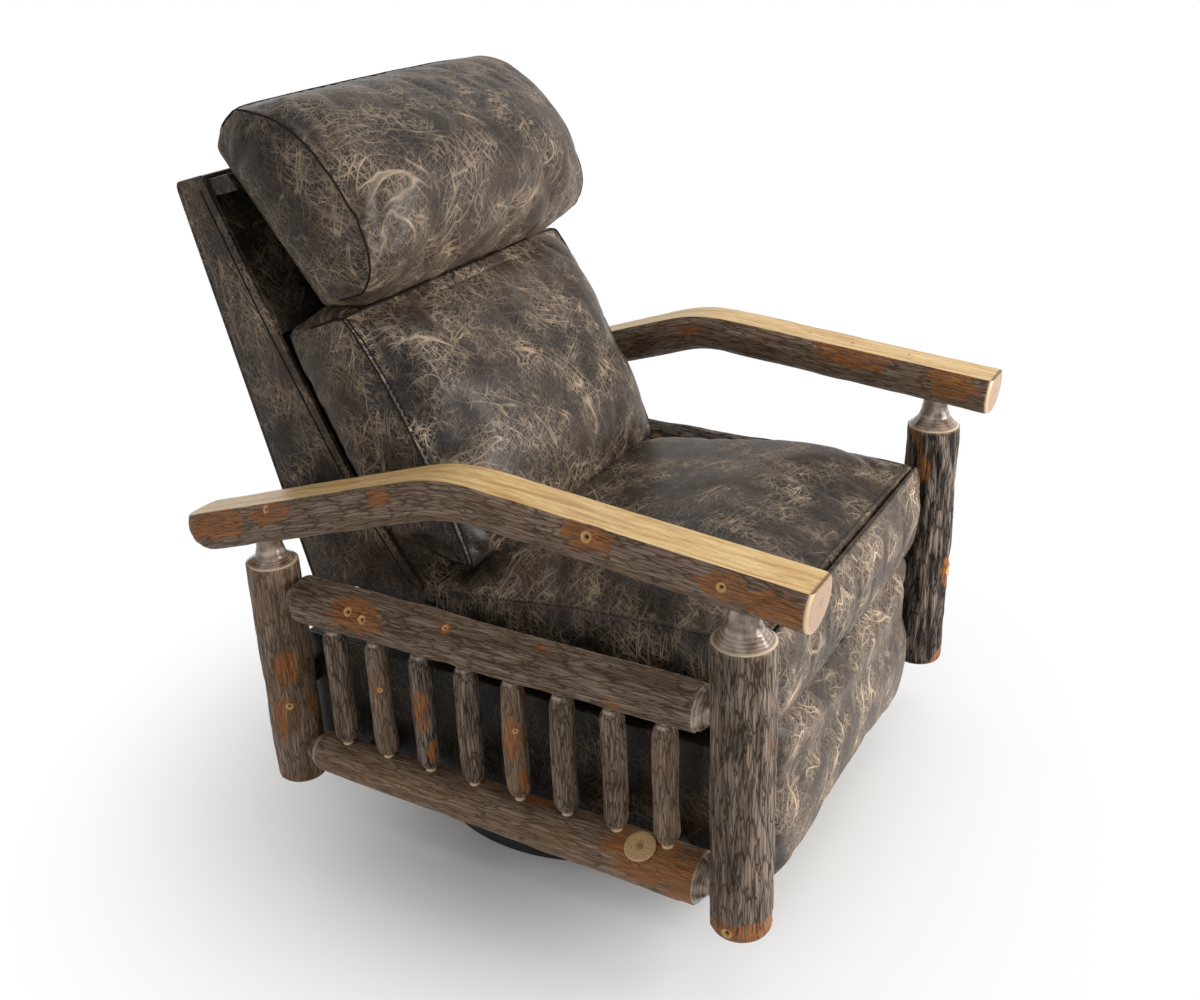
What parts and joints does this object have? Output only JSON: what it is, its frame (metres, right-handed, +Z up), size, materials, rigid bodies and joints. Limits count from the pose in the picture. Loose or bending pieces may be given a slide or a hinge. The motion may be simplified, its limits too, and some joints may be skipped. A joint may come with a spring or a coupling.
{
  "type": "recliner",
  "caption": "Rustic swivel recliner with bark-on log arms and spindles, padded brown leather seat, back, bolster and footrest, on a round steel floor ring.",
  "frame": {"origin": "on the floor, below the middle of the closed chair's box", "axes": "+Z up, -Y the way the sitter faces, +X the sitter's left"},
  "size_m": [0.831, 0.9982, 1.1024],
  "materials": {
    "hickory_bark": "natural bark, clear matt",
    "planed_hickory": "planed, clear satin",
    "frame_wood": "sawn, unfinished",
    "leather": "distressed, waxed",
    "foam": "open cell",
    "webbing": "woven elastic",
    "zinc_steel": "zinc plated",
    "black_steel": "satin black powder coat"
  },
  "bodies": {
    "base": {"base_ring": "black_steel", "base_spokes": "black_steel", "hub_plate": "black_steel", "lower_race": "zinc_steel", "bearing_balls": "zinc_steel"},
    "chassis": {"upper_race": "zinc_steel", "swivel_plate": "black_steel", "cross_tubes": "black_steel", "left_side_board": "frame_wood", "right_side_board": "frame_wood", "left_side_panel": "leather", "right_side_panel": "leather", "front_stretcher": "frame_wood", "rear_stretcher": "frame_wood", "guide_plates": "zinc_steel", "frame_spacers": "zinc_steel", "frame_bolts": "zinc_steel", "left_arm_rest": "planed_hickory", "left_front_post": "hickory_bark", "left_rear_post": "hickory_bark", "left_upper_rail": "hickory_bark", "left_lower_rail": "hickory_bark", "left_spindles": "hickory_bark", "right_arm_rest": "planed_hickory", "right_front_post": "hickory_bark", "right_rear_post": "hickory_bark", "right_upper_rail": "hickory_bark", "right_lower_rail": "hickory_bark", "right_spindles": "hickory_bark"},
    "seat": {"seat_cushion": "leather", "seat_front_border": "leather", "left_seat_side_rail": "frame_wood", "right_seat_side_rail": "frame_wood", "seat_front_rail": "frame_wood", "seat_rear_rail": "frame_wood", "seat_springs": "zinc_steel", "left_carriage_plate": "zinc_steel", "right_carriage_plate": "zinc_steel"},
    "back": {"back_cover": "leather", "left_back_stile": "frame_wood", "right_back_stile": "frame_wood", "back_top_rail": "frame_wood", "back_middle_rail": "frame_wood", "back_bottom_rail": "frame_wood", "back_webbing": "webbing", "back_foam_core": "foam", "back_upper_pad": "foam", "lumbar_cushion": "leather", "headrest_bolster": "leather", "back_brackets": "zinc_steel"},
    "rear_down": {"rear_down_links": "zinc_steel", "link_cross_tube": "zinc_steel"},
    "rear_up": {"rear_up_links": "zinc_steel"},
    "front_down": {"front_down_links": "zinc_steel"},
    "front_up": {"front_up_links": "zinc_steel"},
    "tilt": {"tilt_links": "zinc_steel"},
    "footrest": {"footrest_pad": "leather", "footrest_board": "frame_wood", "footrest_brackets": "zinc_steel"}
  },
  "joints": [
    {"name": "base_swivel", "type": "hinge", "parent": "base", "child": "chassis", "pos_m": [0, 0.023, 0.044], "axis": [0, 0, 1], "continuous": true},
    {"name": "seat_slide", "type": "slide", "parent": "chassis", "child": "seat", "axis": [0, -0.9903, 0.1392], "range_m": [0, 0.05001]},
    {"name": "back_recline", "type": "hinge", "parent": "seat", "child": "back", "pos_m": [0, 0.13, 0.385], "axis": [-1, 0, 0], "range_deg": [0, 35]},
    {"name": "rear_link_fold", "type": "hinge", "parent": "seat", "child": "rear_down", "pos_m": [0, -0.25865, 0.312], "axis": [-1, 0, 0], "range_deg": [0, 42.01]},
    {"name": "rear_cross_fold", "type": "hinge", "parent": "rear_down", "child": "rear_up", "pos_m": [0, -0.28226, 0.20969], "axis": [-1, 0, 0], "range_deg": [-84.01, 0]},
    {"name": "front_link_fold", "type": "hinge", "parent": "rear_up", "child": "front_down", "pos_m": [0, -0.28776, 0.31455], "axis": [-1, 0, 0], "range_deg": [0, 84.01]},
    {"name": "front_cross_fold", "type": "hinge", "parent": "front_down", "child": "front_up", "pos_m": [0, -0.31138, 0.21224], "axis": [-1, 0, 0], "range_deg": [-84.01, 0]},
    {"name": "footrest_swing", "type": "hinge", "parent": "front_up", "child": "footrest", "pos_m": [0, -0.31688, 0.31709], "axis": [-1, 0, 0], "range_deg": [0, 127.01]},
    {"name": "tilt_link_swing", "type": "hinge", "parent": "front_down", "child": "tilt", "pos_m": [0, -0.335, 0.10993], "axis": [-1, 0, 0], "range_deg": [-60.61, 0]}
  ],
  "couplings": [
    {"joint": "seat_slide", "follows": "back_recline", "m_per_rad": 0.081851},
    {"joint": "rear_link_fold", "follows": "back_recline", "ratio": 1.2},
    {"joint": "rear_cross_fold", "follows": "back_recline", "ratio": -2.4},
    {"joint": "front_link_fold", "follows": "back_recline", "ratio": 2.4},
    {"joint": "front_cross_fold", "follows": "back_recline", "ratio": -2.4},
    {"joint": "footrest_swing", "follows": "back_recline", "ratio": 3.6286},
    {"joint": "tilt_link_swing", "follows": "back_recline", "ratio": -1.7314}
  ]
}
